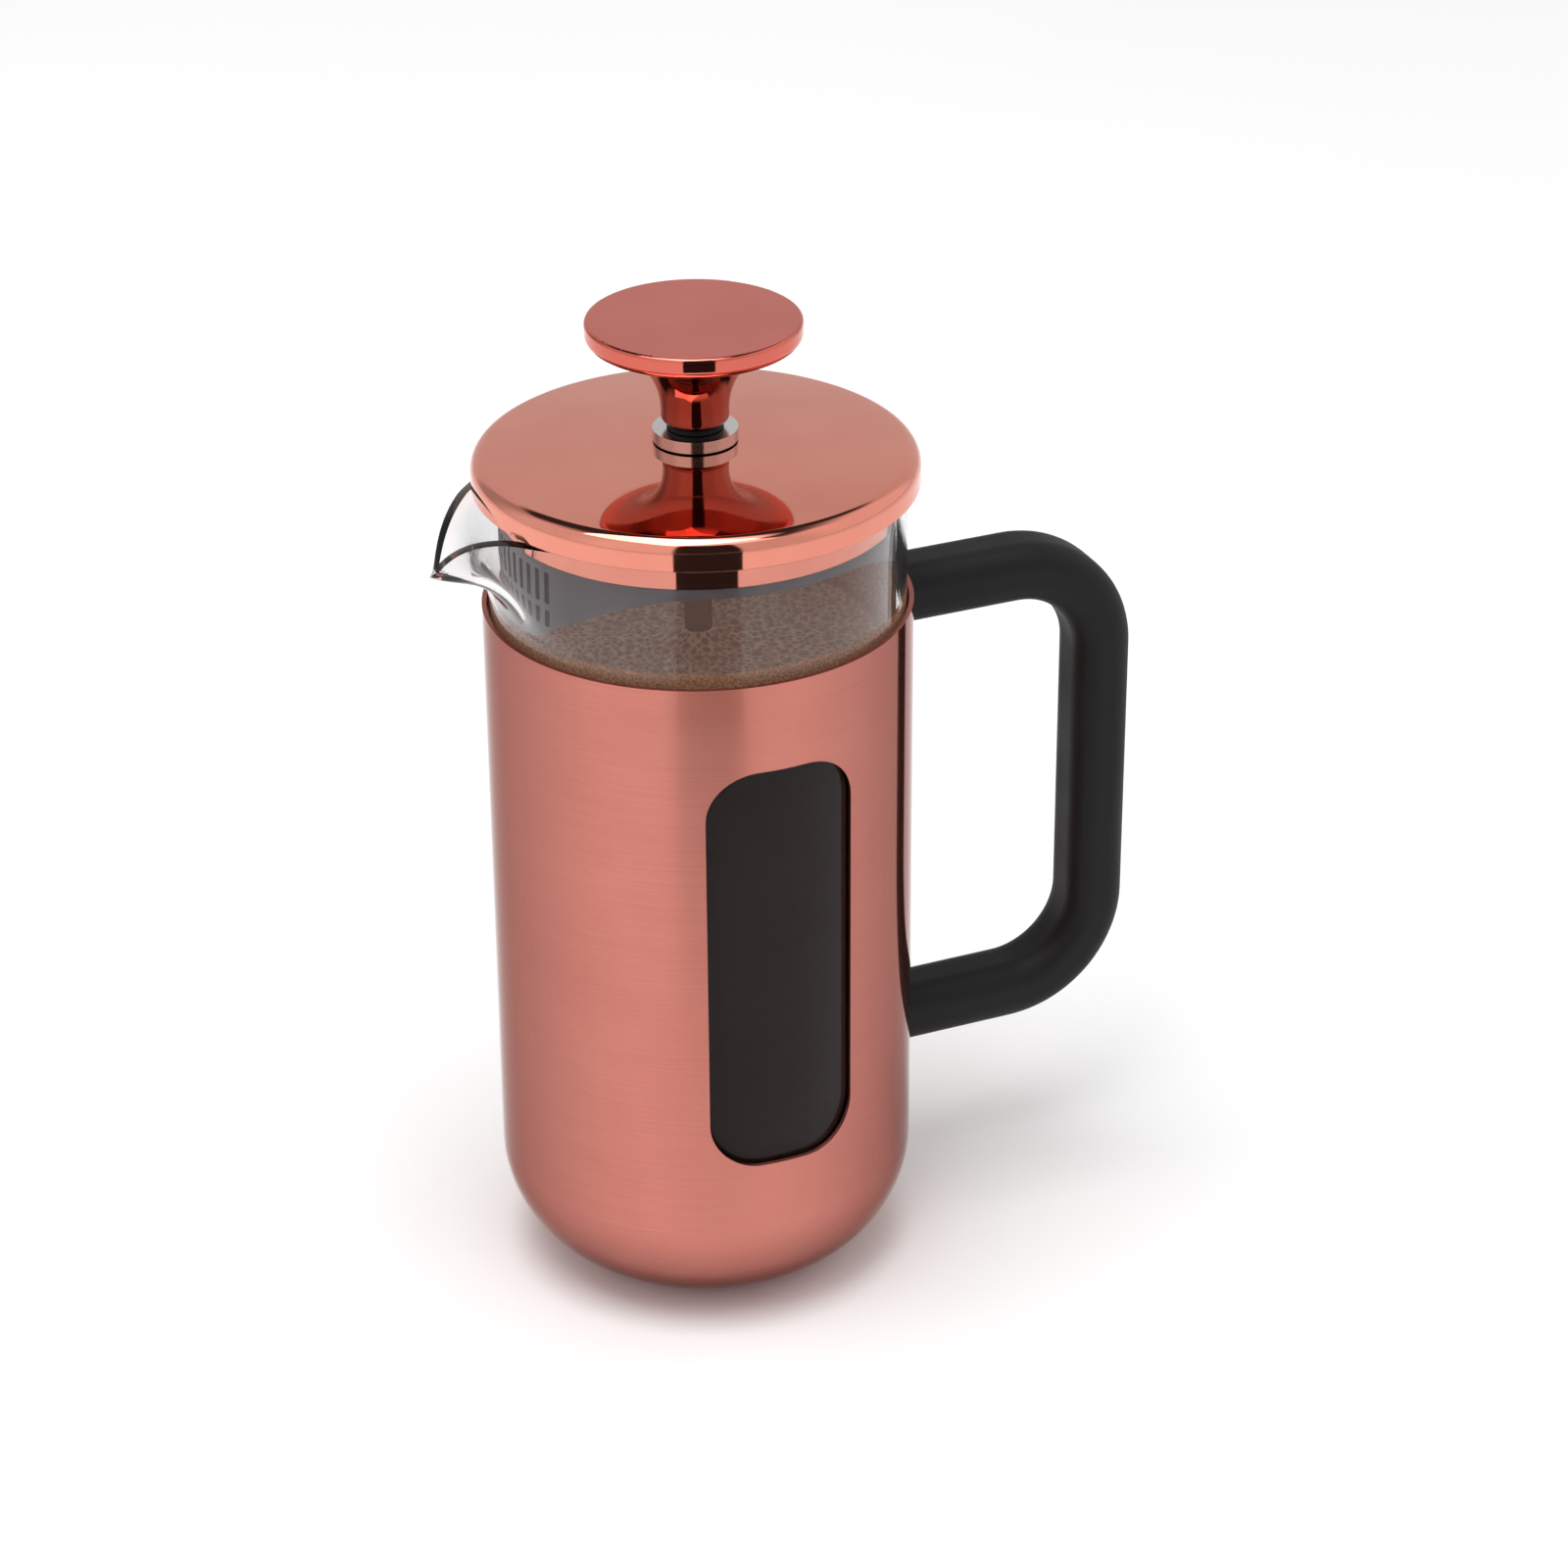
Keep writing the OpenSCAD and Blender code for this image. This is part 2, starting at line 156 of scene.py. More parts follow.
def apply_modifiers(piece):
    """Turns the piece's modifiers into mesh."""
    bpy.context.view_layer.update()
    graph = bpy.context.evaluated_depsgraph_get()
    mesh = bpy.data.meshes.new_from_object(piece.evaluated_get(graph))
    piece.modifiers.clear()
    piece.data = mesh


def store(piece, name, values):
    """Keeps one number per vertex, for the material to read."""
    layer = piece.data.attributes.new(name, "FLOAT", "POINT")
    layer.data.foreach_set("value", values)


# ---------------------------------------------------------------- node helpers

def put(mat, kind, links=None, **values):
    """Adds a node. values set its inputs or properties, and links join its inputs to other sockets."""
    node = mat.node_tree.nodes.new(kind)
    for key, value in values.items():
        label = key.replace("_", " ")
        if label in node.inputs:
            node.inputs[label].default_value = value
        else:
            setattr(node, key, value)
    for key, socket in (links or {}).items():
        mat.node_tree.links.new(socket, node.inputs[key])
    return node


def material(name, **values):
    """A new node material and its shader. values set the shader's inputs."""
    mat = bpy.data.materials.new(name)
    mat.use_nodes = True
    shader = mat.node_tree.nodes["Principled BSDF"]
    for key, value in values.items():
        shader.inputs[key.replace("_", " ")].default_value = value
    return mat, shader


def join(mat, socket, shader, name):
    mat.node_tree.links.new(socket, shader.inputs[name])


def place(mat, scale):
    """Object coordinates times a scale: one number, or one for each axis."""
    if not isinstance(scale, tuple):
        scale = (scale, scale, scale)
    coord = put(mat, "ShaderNodeTexCoord")
    mapping = put(mat, "ShaderNodeMapping", {"Vector": coord.outputs["Object"]}, Scale=scale)
    return mapping.outputs["Vector"]


def clouds(mat, scale, detail):
    """Noise with scale features per metre."""
    node = put(mat, "ShaderNodeTexNoise", {"Vector": place(mat, scale)}, Scale=1.0, Detail=detail)
    return node.outputs["Fac"]


def cells(mat, scale):
    """Distance from the middle of the nearest cell, with scale cells per metre."""
    node = put(mat, "ShaderNodeTexVoronoi", {"Vector": place(mat, scale)}, Scale=1.0)
    return node.outputs["Distance"]


def ramp(mat, factor, stops):
    """A colour ramp with (position, value or colour) stops."""
    node = put(mat, "ShaderNodeValToRGB", {"Fac": factor})
    elements = node.color_ramp.elements
    while len(elements) < len(stops):
        elements.new(0.5)
    for element, (position, colour) in zip(elements, stops):
        element.position = position
        if isinstance(colour, (int, float)):
            colour = (colour, colour, colour)
        element.color = (*colour, 1)
    return node.outputs["Color"]


def vary(mat, shader, name, factor, low, high, ends=(0.3, 0.7)):
    """Lets a shader's input run from low to high while the factor runs between its ends."""
    join(mat, ramp(mat, factor, [(ends[0], low), (ends[1], high)]), shader, name)


def rescale(mat, value, first, last, low=0.0, high=1.0):
    """A value that runs from low to high while another runs from first to last."""
    node = put(mat, "ShaderNodeMapRange", {"Value": value},
               From_Min=first, From_Max=last, To_Min=low, To_Max=high)
    return node.outputs["Result"]


def blend(mat, share, first, second):
    """A colour between two colours. Each is a socket or a constant."""
    node = put(mat, "ShaderNodeMix", data_type="RGBA")
    for socket, source in zip((node.inputs[0], node.inputs[6], node.inputs[7]), (share, first, second)):
        if isinstance(source, tuple):
            socket.default_value = (*source, 1)
        else:
            mat.node_tree.links.new(source, socket)
    return node.outputs[2]


def bump(mat, shader, height, strength, distance):
    node = put(mat, "ShaderNodeBump", {"Height": height}, Strength=strength, Distance=distance)
    join(mat, node.outputs["Normal"], shader, "Normal")


def lathe_grain(mat, shader):
    """Anisotropic highlights that spread across grooves running round the axis."""
    tangent = put(mat, "ShaderNodeTangent", direction_type="RADIAL", axis="Z")
    join(mat, tangent.outputs["Tangent"], shader, "Tangent")
    shader.inputs["Anisotropic Rotation"].default_value = 0.25


# ---------------------------------------------------------------- materials

COPPER_DEEP = (0.73, 0.235, 0.165)
COPPER_LIGHT = (0.80, 0.285, 0.205)
KNOB_DEEP = (0.60, 0.11, 0.075)
KNOB_LIGHT = (0.68, 0.14, 0.10)
# painted shade: the knob's neck and the underside of its disc get this darker colour
KNOB_NECK_SHADE = (0.34, 0.085, 0.058)
KNOB_DISC = 4.2 * MM                        # the painted shade of the neck and the disc's underside starts this far below the knob's top
NECK_SHADE_FADE = 1.0 * MM
SATIN_DEEP = (0.55, 0.175, 0.135)
SATIN_LIGHT = (0.62, 0.215, 0.165)
SATIN_EDGE_SHADE = (0.22, 0.065, 0.055)           # painted shade where the sleeve turns away from the view
SATIN_ENDS = (0.35, 0.65)                   # the range of the brush marks' noise
SATIN_ROUGH = (0.30, 0.36)
FINE_RELIEF = 0.02 * MM                     # height of brush marks and grain
FOAM_RIM = (1.0, 0.83, 0.72)
FOAM_SIDE = (0.72, 0.52, 0.42)
FOAM_DOME = (0.55, 0.375, 0.30)
FOAM_PAINTED_GLOW = 0.06                            # painted light: a faint glow of the foam's own that brightens it


def polished_copper(name, deep, light, neck_shade_top=None):
    """Polished copper plating under clear lacquer, with faint wipe marks. Below the given height it is
    painted darker: painted shade under the knob's disc.
    """
    mat, shader = material(name, Metallic=1, Specular_Tint=(0.97, 0.87, 0.84, 1),
                           Coat_Weight=0.45, Coat_Roughness=0.03)
    tone = ramp(mat, clouds(mat, 40, 3), [(0.3, deep), (0.7, light)])
    if neck_shade_top is not None:
        # painted shade: the colour turns darker below the knob's disc
        coord = put(mat, "ShaderNodeTexCoord").outputs["Object"]
        height = put(mat, "ShaderNodeSeparateXYZ", {"Vector": coord}).outputs["Z"]
        tone = blend(mat, rescale(mat, height, neck_shade_top, neck_shade_top + NECK_SHADE_FADE), KNOB_NECK_SHADE, tone)
    join(mat, tone, shader, "Base Color")
    vary(mat, shader, "Roughness", clouds(mat, 220, 4), 0.035, 0.075, (0.35, 0.75))
    return mat


def satin_copper():
    """Copper plating brushed round the wall, under lacquer. Where it turns away from the view its colour has
    painted shade, and its gloss is sharper there.
    """
    mat, shader = material("satin_copper", Metallic=0.85, Specular_Tint=(0.6, 0.33, 0.28, 1),
                           Anisotropic=0.75, Coat_Weight=0.45, Coat_Roughness=0.06)
    lathe_grain(mat, shader)
    strokes = clouds(mat, (25, 25, 5000), 4)
    both = put(mat, "ShaderNodeMix", {"A": strokes, "B": clouds(mat, (45, 45, 70), 5)}, Factor=0.55)
    marks = both.outputs["Result"]
    turned = put(mat, "ShaderNodeLayerWeight", Blend=0.5).outputs["Facing"]
    face = ramp(mat, marks, list(zip(SATIN_ENDS, (SATIN_DEEP, SATIN_LIGHT))))
    # painted shade: darker colour where the wall turns away from the view
    edge = ramp(mat, turned, [(0.2, 0.0), (0.8, 1.0)])
    join(mat, blend(mat, edge, face, SATIN_EDGE_SHADE), shader, "Base Color")
    rough = rescale(mat, marks, *SATIN_ENDS, *SATIN_ROUGH)
    grazing = ramp(mat, turned, [(0.5, 1.0), (0.68, 0.25)])
    sheen = put(mat, "ShaderNodeMath", {0: rough, 1: grazing}, operation="MULTIPLY")
    join(mat, sheen.outputs["Value"], shader, "Roughness")
    bump(mat, shader, strokes, 0.05, FINE_RELIEF)
    return mat


def brushed_steel():
    """Stainless steel turned on a lathe: fine rings round the axis."""
    mat, shader = material("brushed_steel", Metallic=1, Anisotropic=0.5)
    lathe_grain(mat, shader)
    rings = clouds(mat, (80, 80, 7000), 3)
    vary(mat, shader, "Base Color", rings, (0.60, 0.585, 0.57), (0.64, 0.625, 0.61))
    vary(mat, shader, "Roughness", rings, 0.13, 0.18)
    bump(mat, shader, rings, 0.01, FINE_RELIEF)
    return mat


def zinc_plate():
    """Zinc plated steel, with its crystal spots."""
    mat, shader = material("zinc_plate", Metallic=1)
    spots = cells(mat, 1500)
    vary(mat, shader, "Base Color", spots, (0.45, 0.46, 0.48), (0.6, 0.61, 0.63), (0.0, 1.0))
    vary(mat, shader, "Roughness", spots, 0.3, 0.45, (0.0, 1.0))
    return mat


def brass():
    """Plain drawn brass."""
    mat, shader = material("brass", Metallic=1)
    grain = clouds(mat, (3000, 600, 600), 3)
    vary(mat, shader, "Base Color", grain, (0.58, 0.38, 0.13), (0.75, 0.52, 0.22))
    vary(mat, shader, "Roughness", grain, 0.25, 0.4)
    return mat


def soft_black():
    """Black plastic with a soft touch coat and a fine grain."""
    mat, shader = material("soft_black", Specular_IOR_Level=0.22)
    tone = clouds(mat, 90, 4)
    vary(mat, shader, "Base Color", tone, (0.0060, 0.0052, 0.0062), (0.0085, 0.0076, 0.0088))
    vary(mat, shader, "Roughness", tone, 0.5, 0.6)
    bump(mat, shader, clouds(mat, 3500, 2), 0.25, 1.5 * FINE_RELIEF)
    return mat


def grey_plastic():
    """Dark grey moulded plastic of the strainer."""
    mat, shader = material("grey_plastic", Specular_IOR_Level=0.3)
    tone = clouds(mat, 70, 3)
    vary(mat, shader, "Base Color", tone, (0.195, 0.165, 0.175), (0.225, 0.195, 0.205))
    vary(mat, shader, "Roughness", tone, 0.42, 0.52)
    bump(mat, shader, clouds(mat, 2500, 2), 0.15, FINE_RELIEF)
    return mat


def silicone():
    """Dark silicone rubber."""
    mat, shader = material("silicone", Roughness=0.65)
    vary(mat, shader, "Base Color", clouds(mat, 900, 3), (0.05, 0.05, 0.052), (0.08, 0.08, 0.082))
    return mat


def clear_glass():
    """Borosilicate glass, a trace uneven from drawing."""
    mat, shader = material("clear_glass", Base_Color=(0.92, 0.915, 0.915, 1), Roughness=0, IOR=1.47,
                           Specular_Tint=(0.35, 0.35, 0.35, 1), Transmission_Weight=1)
    bump(mat, shader, clouds(mat, (55, 55, 25), 1), 0.06, 0.4 * MM)
    return mat


def coffee_body():
    """Black coffee behind the glass, with a warm tone."""
    mat, shader = material("coffee_body", Roughness=0.5, Specular_IOR_Level=0.02)
    vary(mat, shader, "Base Color", clouds(mat, 25, 3), (0.022, 0.010, 0.009), (0.034, 0.017, 0.015))
    return mat


def coffee_foam():
    """Grey brown bubbles with lighter rims, and fine brown froth along the glass."""
    # painted light: a faint warm glow brightens the foam
    mat, shader = material("coffee_foam", Roughness=0.22, Specular_IOR_Level=0.6,
                           Emission_Color=(1, 0.52, 0.36, 1), Emission_Strength=FOAM_PAINTED_GLOW)
    dome = put(mat, "ShaderNodeAttribute", attribute_name="film").outputs["Fac"]
    edge = put(mat, "ShaderNodeAttribute", attribute_name="crema").outputs["Fac"]
    fine = cells(mat, 2300)
    wet = ramp(mat, dome, [(0.0, FOAM_RIM), (0.45, FOAM_SIDE), (1.0, FOAM_DOME)])
    froth = ramp(mat, fine, [(0.1, (0.16, 0.07, 0.035)), (0.8, (0.54, 0.28, 0.155))])
    join(mat, blend(mat, edge, wet, froth), shader, "Base Color")
    bump(mat, shader, fine, 0.3, 0.1 * MM)
    return mat


# ---------------------------------------------------------------- beaker

LIP_ANGLE = math.radians(35.4)              # half of the angle that the spout takes out of the rim
LIP_FIRST = Vector((-45.3, 4.6, 2.2)) * MM  # control points of the lip's curve: height is above the rim
LIP_SECOND = Vector((-44.6, 1.5, -9.0)) * MM
LIP_TIP = Vector((-46.7, 0.0, -9.0)) * MM
LIP_BELOW = 0.2 * MM                        # the whole lip stays at least this far below GLASS_TOP
SPOUT_FOOT = 2 * MM                         # height above the sleeve where the spout starts
THROAT_RISE = 8.6 * MM                      # control points of the spout's wall: this far above its foot
THROAT_OUT = Vector((6.2, 0, -3.2)) * MM    # and this far from its lip
LIP_POLISH = 0.7 * MM                       # width of the lip's rounded edge
BASE_FLAT = 15 * MM                         # radius of the base's flat middle
BASE_ROUND = GLASS_R - BASE_FLAT
GLASS_COLUMNS = 240
BASE_ROWS = 14
WALL_ROWS = 6
SPOUT_ROWS = 26


def lip_point(angle):
    """The beaker's upper edge at an angle from the spout, on the glass's outer face."""
    share = abs(angle) / LIP_ANGLE
    end = Vector((-GLASS_R * math.cos(LIP_ANGLE), GLASS_R * math.sin(LIP_ANGLE), 0))
    if share >= 1:
        point = Vector((-GLASS_R * math.cos(angle), GLASS_R * abs(math.sin(angle)), 0))
    else:
        point = cubic(end, LIP_FIRST, LIP_SECOND, LIP_TIP, 1 - share)
    side = 1 if angle >= 0 else -1
    return Vector((point.x, point.y * side, GLASS_TOP + min(point.z, -LIP_BELOW)))


def glass_column(angle):
    """Points of the beaker's outer face from the middle of its base to its lip."""
    out = Vector((-math.cos(angle), math.sin(angle), 0))
    points = [out * (BASE_FLAT * s) + Vector((0, 0, GLASS_LOW)) for s in (0.35, 0.7, 1.0)]
    for i in range(1, BASE_ROWS + 1):
        turn = math.pi / 2 * i / BASE_ROWS
        points.append(out * (BASE_FLAT + BASE_ROUND * math.sin(turn))
                      + Vector((0, 0, GLASS_LOW + BASE_ROUND * (1 - math.cos(turn)))))
    foot = out * GLASS_R + Vector((0, 0, SLEEVE_TOP + SPOUT_FOOT))
    for z in spread(GLASS_LOW + BASE_ROUND, foot.z, WALL_ROWS)[1:-1]:
        points.append(out * GLASS_R + Vector((0, 0, z)))
    lip = lip_point(angle)
    hold = smoothstep(abs(angle) / LIP_ANGLE)
    low = mix(foot + Vector((0, 0, THROAT_RISE)), mix(foot, lip, 1 / 3), hold)
    high = mix(lip + THROAT_OUT, mix(foot, lip, 2 / 3), hold)
    for t in spread(0, 1, SPOUT_ROWS):
        points.append(cubic(foot, low, high, lip, t))
    return points


def make_beaker():
    """The glass with its drawn spout, in place of the CAD beaker."""
    bm = bmesh.new()
    columns = []
    for i in range(GLASS_COLUMNS):
        angle = math.pi * (2 * i / GLASS_COLUMNS - 1)
        columns.append([bm.verts.new(p) for p in glass_column(angle)])
    rows = list(zip(*columns))
    grid_faces(bm, rows, closed=True)
    middle = bm.verts.new((0, 0, GLASS_LOW))
    for i, vert in enumerate(rows[0]):
        bm.faces.new((vert, middle, rows[0][(i + 1) % GLASS_COLUMNS]))
    glass = new_object("glass_beaker", bm)
    shell = glass.modifiers.new("wall", "SOLIDIFY")
    shell.thickness = GLASS_WALL
    shell.offset = -1
    lip = glass.modifiers.new("fire_polish", "BEVEL")
    lip.width = LIP_POLISH
    lip.segments = 4
    lip.limit_method = "ANGLE"
    lip.angle_limit = math.radians(60)
    apply_modifiers(glass)
    glass.data.shade_smooth()
    glass.data.materials.append(clear_glass())
    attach(glass, "beaker")
    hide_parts("beaker")


# ---------------------------------------------------------------- coffee

FOAM_TOP = SLEEVE_TOP - 8 * MM
FOAM_DEPTH = 5 * MM
FOAM_LOW = FOAM_TOP - FOAM_DEPTH
WET = 0.05 * MM                             # the coffee overlaps the glass by this, so that no air shows
FOAM_R = GLASS_IN + WET
FOAM_HOLE = ROD_R * 0.98                    # just inside the rod, so that no gap shows
COFFEE_HOLE = ROD_R * 0.2                   # hidden inside the rod
FOAM_STEP = 0.28 * MM
FOAM_AROUND = 640
COFFEE_AROUND = 128
COFFEE_ROWS = 12

BUBBLE_SIZES = (1.15, 0.9, 0.72, 0.56, 0.44, 0.34)  # radii in millimetres, larger ones first
BUBBLE_TRIES = (90, 350, 900, 2200, 5200, 9000)
BUBBLE_CELL = 2.4 * MM                      # bubbles further apart than this never touch
BUBBLE_GAP = 0.6 * MM                       # from the glass to the nearest bubble's middle
BUBBLE_PRESS = 0.93                         # middles are at least this far apart, in sums of the radii
BUBBLE_RISE = 0.42                          # height of a bubble's dome for a radius of one
FINE_BUBBLE = 0.4                           # only bubbles smaller than this lie in the brown ring

CREMA_WIDTH = 3.2 * MM                      # width of the fine brown ring along the glass
CREMA_WOBBLE = 1.2 * MM
CREMA_FADE = 0.55                           # share of the ring's width in which its colour fades in
SWELL = 0.25 * MM                           # the foam's surface rolls up and down by up to this
CLIMB = 0.9 * MM                            # height and width of the foam that climbs the glass
MOUND = 2.6 * MM                            # height and width of the foam heaped round the rod

FROTH_RISE = 1.9 * MM                       # how far the froth on the glass reaches above the sleeve
FROTH_SINK = 1 * MM                         # how far it reaches down below the foam's surface
FROTH_RAGGED = 0.5 * MM
FROTH_FADE = 2 * MM                         # the ragged edge reaches down this far
FROTH_WIDTH = 0.3 * MM
FROTH_TAPER = 3                             # full width is reached a third of the way down
FROTH_ROWS = 24
FROTH_AROUND = 540


def make_coffee():
    """The coffee below the foam."""
    low = GLASS_LOW + GLASS_WALL
    inner_round = BASE_ROUND - GLASS_WALL
    profile = [(COFFEE_HOLE, low), (BASE_FLAT, low)]
    for i in range(1, COFFEE_ROWS + 1):
        turn = math.pi / 2 * i / COFFEE_ROWS
        profile.append((BASE_FLAT + (inner_round + WET) * math.sin(turn),
                        low + inner_round * (1 - math.cos(turn))))
    profile += [(FOAM_R, FOAM_LOW), (COFFEE_HOLE, FOAM_LOW)]
    coffee = revolve("coffee", profile, COFFEE_AROUND)
    coffee.data.materials.append(coffee_body())
    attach(coffee, "beaker")


def near_bubbles(table, x, y):
    """The bubbles in the cell at x, y and in the cells round it."""
    column, row = int(x // BUBBLE_CELL), int(y // BUBBLE_CELL)
    return [found for i in (-1, 0, 1) for j in (-1, 0, 1) for found in table.get((column + i, row + j), ())]


def bubbles():
    """Middles and radii of the foam's bubbles, in a table of square cells."""
    dice = random.Random(7)
    table = {}
    limit = GLASS_IN - BUBBLE_GAP
    for size, count in zip(BUBBLE_SIZES, BUBBLE_TRIES):
        for _ in range(count):
            r = size * MM * dice.uniform(0.85, 1.12)
            far = limit * math.sqrt(dice.random())
            turn = dice.uniform(0, 2 * math.pi)
            x, y = far * math.cos(turn), far * math.sin(turn)
            if far < ROD_R + r or far > limit - CREMA_WIDTH * dice.uniform(0.3, 1.1) and size > FINE_BUBBLE:
                continue
            near = near_bubbles(table, x, y)
            if all((x - a) ** 2 + (y - b) ** 2 > (BUBBLE_PRESS * (r + c)) ** 2 for a, b, c in near):
                table.setdefault((int(x // BUBBLE_CELL), int(y // BUBBLE_CELL)), []).append((x, y, r))
    return table


def foam_point(table, x, y, far):
    """The foam's height at a point, how near a bubble's middle is, and how brown the foam is."""
    dome, film = 0.0, 0.0
    for bubble_x, bubble_y, r in near_bubbles(table, x, y):
        share = math.hypot(x - bubble_x, y - bubble_y) / r
        if share < 1:
            dome = max(dome, r * BUBBLE_RISE * math.sqrt(1 - share * share))
            film = max(film, 1 - share**3)
    swell = noise.noise(Vector((x, y, 0)) * 90) * SWELL
    climb = CLIMB * math.exp(-(FOAM_R - far) / CLIMB) + MOUND * math.exp(-(far - ROD_R) / MOUND)
    wobble = noise.noise(Vector((x, y, 1)) * 260) * CREMA_WOBBLE
    crema = smoothstep((far + wobble - (FOAM_R - CREMA_WIDTH)) / (CREMA_FADE * CREMA_WIDTH))
    return FOAM_TOP + dome + swell + climb, film, crema


def make_foam(finish):
    """A fine sheet over the coffee with a dome for each bubble, and a side that shows through the glass."""
    table = bubbles()
    bm = bmesh.new()
    films, cremas = [], []
    rows = []
    for far in spread(FOAM_HOLE, FOAM_R, int((FOAM_R - ROD_R) / FOAM_STEP)):
        ring = []
        for i in range(FOAM_AROUND):
            turn = 2 * math.pi * i / FOAM_AROUND
            x, y = far * math.cos(turn), far * math.sin(turn)
            z, film, crema = foam_point(table, x, y, far)
            ring.append(bm.verts.new((x, y, z)))
            films.append(film)
            cremas.append(crema)
        rows.append(ring)
    for far in (FOAM_R, FOAM_HOLE):
        rows.append(circle(bm, far, FOAM_LOW, FOAM_AROUND))
        films += [0.0] * FOAM_AROUND
        cremas += [1.0] * FOAM_AROUND
    rows.append(rows[0])
    grid_faces(bm, rows, closed=True)
    foam = new_object("coffee_foam", bm)
    store(foam, "film", films)
    store(foam, "crema", cremas)
    foam.data.materials.append(finish)
    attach(foam, "beaker")


def make_froth(finish):
    """Fine froth left on the inside of the glass, with a ragged upper edge."""
    low, high = FOAM_TOP - FROTH_SINK, SLEEVE_TOP + FROTH_RISE
    profile = [(FOAM_R, z) for z in spread(low, high, FROTH_ROWS)]
    for share in spread(0, 1, FROTH_ROWS):
        inner = GLASS_IN - FROTH_WIDTH * smoothstep(share * FROTH_TAPER) - WET
        profile.append((inner, mix(high, low, share) - WET))
    froth = revolve("coffee_froth", profile, FROTH_AROUND)
    for vert in froth.data.vertices:
        share = smoothstep((vert.co.z - high + FROTH_FADE) / FROTH_FADE)
        ragged = noise.noise(vert.co * 160) + 0.6 * noise.noise(vert.co * 520)
        vert.co.z += FROTH_RAGGED * ragged * share
    store(froth, "crema", [1.0] * len(froth.data.vertices))
    froth.data.materials.append(finish)
    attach(froth, "beaker")


# ---------------------------------------------------------------- lid

LID_SIDE = 2.7 * MM                         # height of the straight side
LID_EDGE = 2.6 * MM                         # radius of the shoulder
LID_RISE = 1.7 * MM                         # rise of the dome above the shoulder
LID_WALL = 1.0 * MM
LID_RIM = 1.6 * MM                          # width of the lid's lower edge
LID_HOLE = 3.46 * MM
LID_CHAMFER = 0.12 * MM
DOME_ROWS = 32
EDGE_ROWS = 28
LID_AROUND = 256


def dome_points(depth, reach):
    """The lid's dome and shoulder, depth below the surface, as far out as reach."""
    shoulder_r = LID_HIGH.y - LID_EDGE
    shoulder_z = LID_LOW.z + LID_SIDE
    dome_r = (shoulder_r**2 + LID_RISE**2) / (2 * LID_RISE) + LID_EDGE
    centre_z = shoulder_z + LID_EDGE + LID_RISE - dome_r
    meet = math.atan2(shoulder_r, shoulder_z - centre_z)
    first = math.asin(LID_HOLE / (dome_r - depth))
    points = arc(0, centre_z, dome_r - depth, spread(first, meet, DOME_ROWS))
    points += arc(shoulder_r, shoulder_z, LID_EDGE - depth, spread(meet, math.pi / 2, EDGE_ROWS)[1:])
    return [point for point in points if point[0] <= reach]


def make_lid(copper):
    """The lid's cap as a fine surface, so that its shoulder reflects cleanly."""
    r, low = LID_HIGH.y, LID_LOW.z
    inner = dome_points(LID_WALL, r - LID_RIM)
    outline = dome_points(0, r)
    outline += [(r, low + LID_CHAMFER), (r - LID_CHAMFER, low), (r - LID_RIM, low)]
    outline += [(r - LID_RIM, inner[-1][1])] + inner[::-1]
    lid = revolve("lid_cap_top", outline, LID_AROUND)
    lid.data.materials.append(copper)
    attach(lid, "lid")
    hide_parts("lid_cap")


# ---------------------------------------------------------------- filter

COIL_TURNS = 96
COIL_STEPS = 12                             # points in each turn
COIL_WIRE = 0.28 * MM
COIL_SIDES = 6
MESH_PITCH = 0.85 * MM
MESH_WIRE = 0.11 * MM                       # the wires weave this far up and down
MESH_HALF = MESH_WIRE * 0.8                 # half of a wire's width
MESH_EDGE = 0.5 * MM                        # the mesh ends this far inside the band
BAND_REACH = 2.6 * MM                       # the band's flat foot reaches this far in under the mesh
BAND_WALL = 0.35 * MM
BAND_CORNER = 0.5 * MM                      # the folded corner starts this far from the band's edges
BAND_CUT = 0.15 * MM                        # its middle lies this far from them
BAND_INSIDE = 0.55 * MM                     # and on the inside it starts this far from them
BAND_AROUND = 192


def make_spring(steel):
    """The coil spring round the filter's edge, wound inside its envelope."""
    coil = (SPRING_HIGH.z - SPRING_LOW.z) / 2
    ring = SPRING_HIGH.y - coil
    height = (SPRING_HIGH.z + SPRING_LOW.z) / 2
    wind_r = coil - COIL_WIRE
    points = []
    for i in range(COIL_TURNS * COIL_STEPS):
        turn = 2 * math.pi * i / (COIL_TURNS * COIL_STEPS)
        wind = turn * COIL_TURNS
        far = ring + wind_r * math.cos(wind)
        z = height + wind_r * math.sin(wind)
        points.append(Vector((far * math.cos(turn), far * math.sin(turn), z)))
    spring = closed_tube("filter_coil_spring", points, COIL_WIRE, COIL_SIDES)
    spring.data.materials.append(steel)
    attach(spring, "plunger")
    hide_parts("filter_spring")


def mesh_wire(bm, axis, k, reach):
    """One wire of the mesh, line k along x for axis 0 or along y for axis 1. It is square in section."""
    offset = (k + 0.5) * MESH_PITCH
    count = int(2 * reach / MESH_PITCH) + 1
    before = None
    for i in range(count + 1):
        s = -reach + 2 * reach * i / count
        over = MESH_WIRE * (1 if (round(s / MESH_PITCH) + k + axis) % 2 else -1)
        ring = []
        for a, b in ((-1, -1), (1, -1), (1, 1), (-1, 1)):
            across = offset + a * MESH_HALF
            z = MESH_LOW.z + 2 * MESH_WIRE + over + b * MESH_HALF
            ring.append(bm.verts.new((s, across, z) if axis == 0 else (across, s, z)))
        if before:
            grid_faces(bm, [before, ring], closed=True)
        else:
            bm.faces.new(ring)
        before = ring
    bm.faces.new(before)


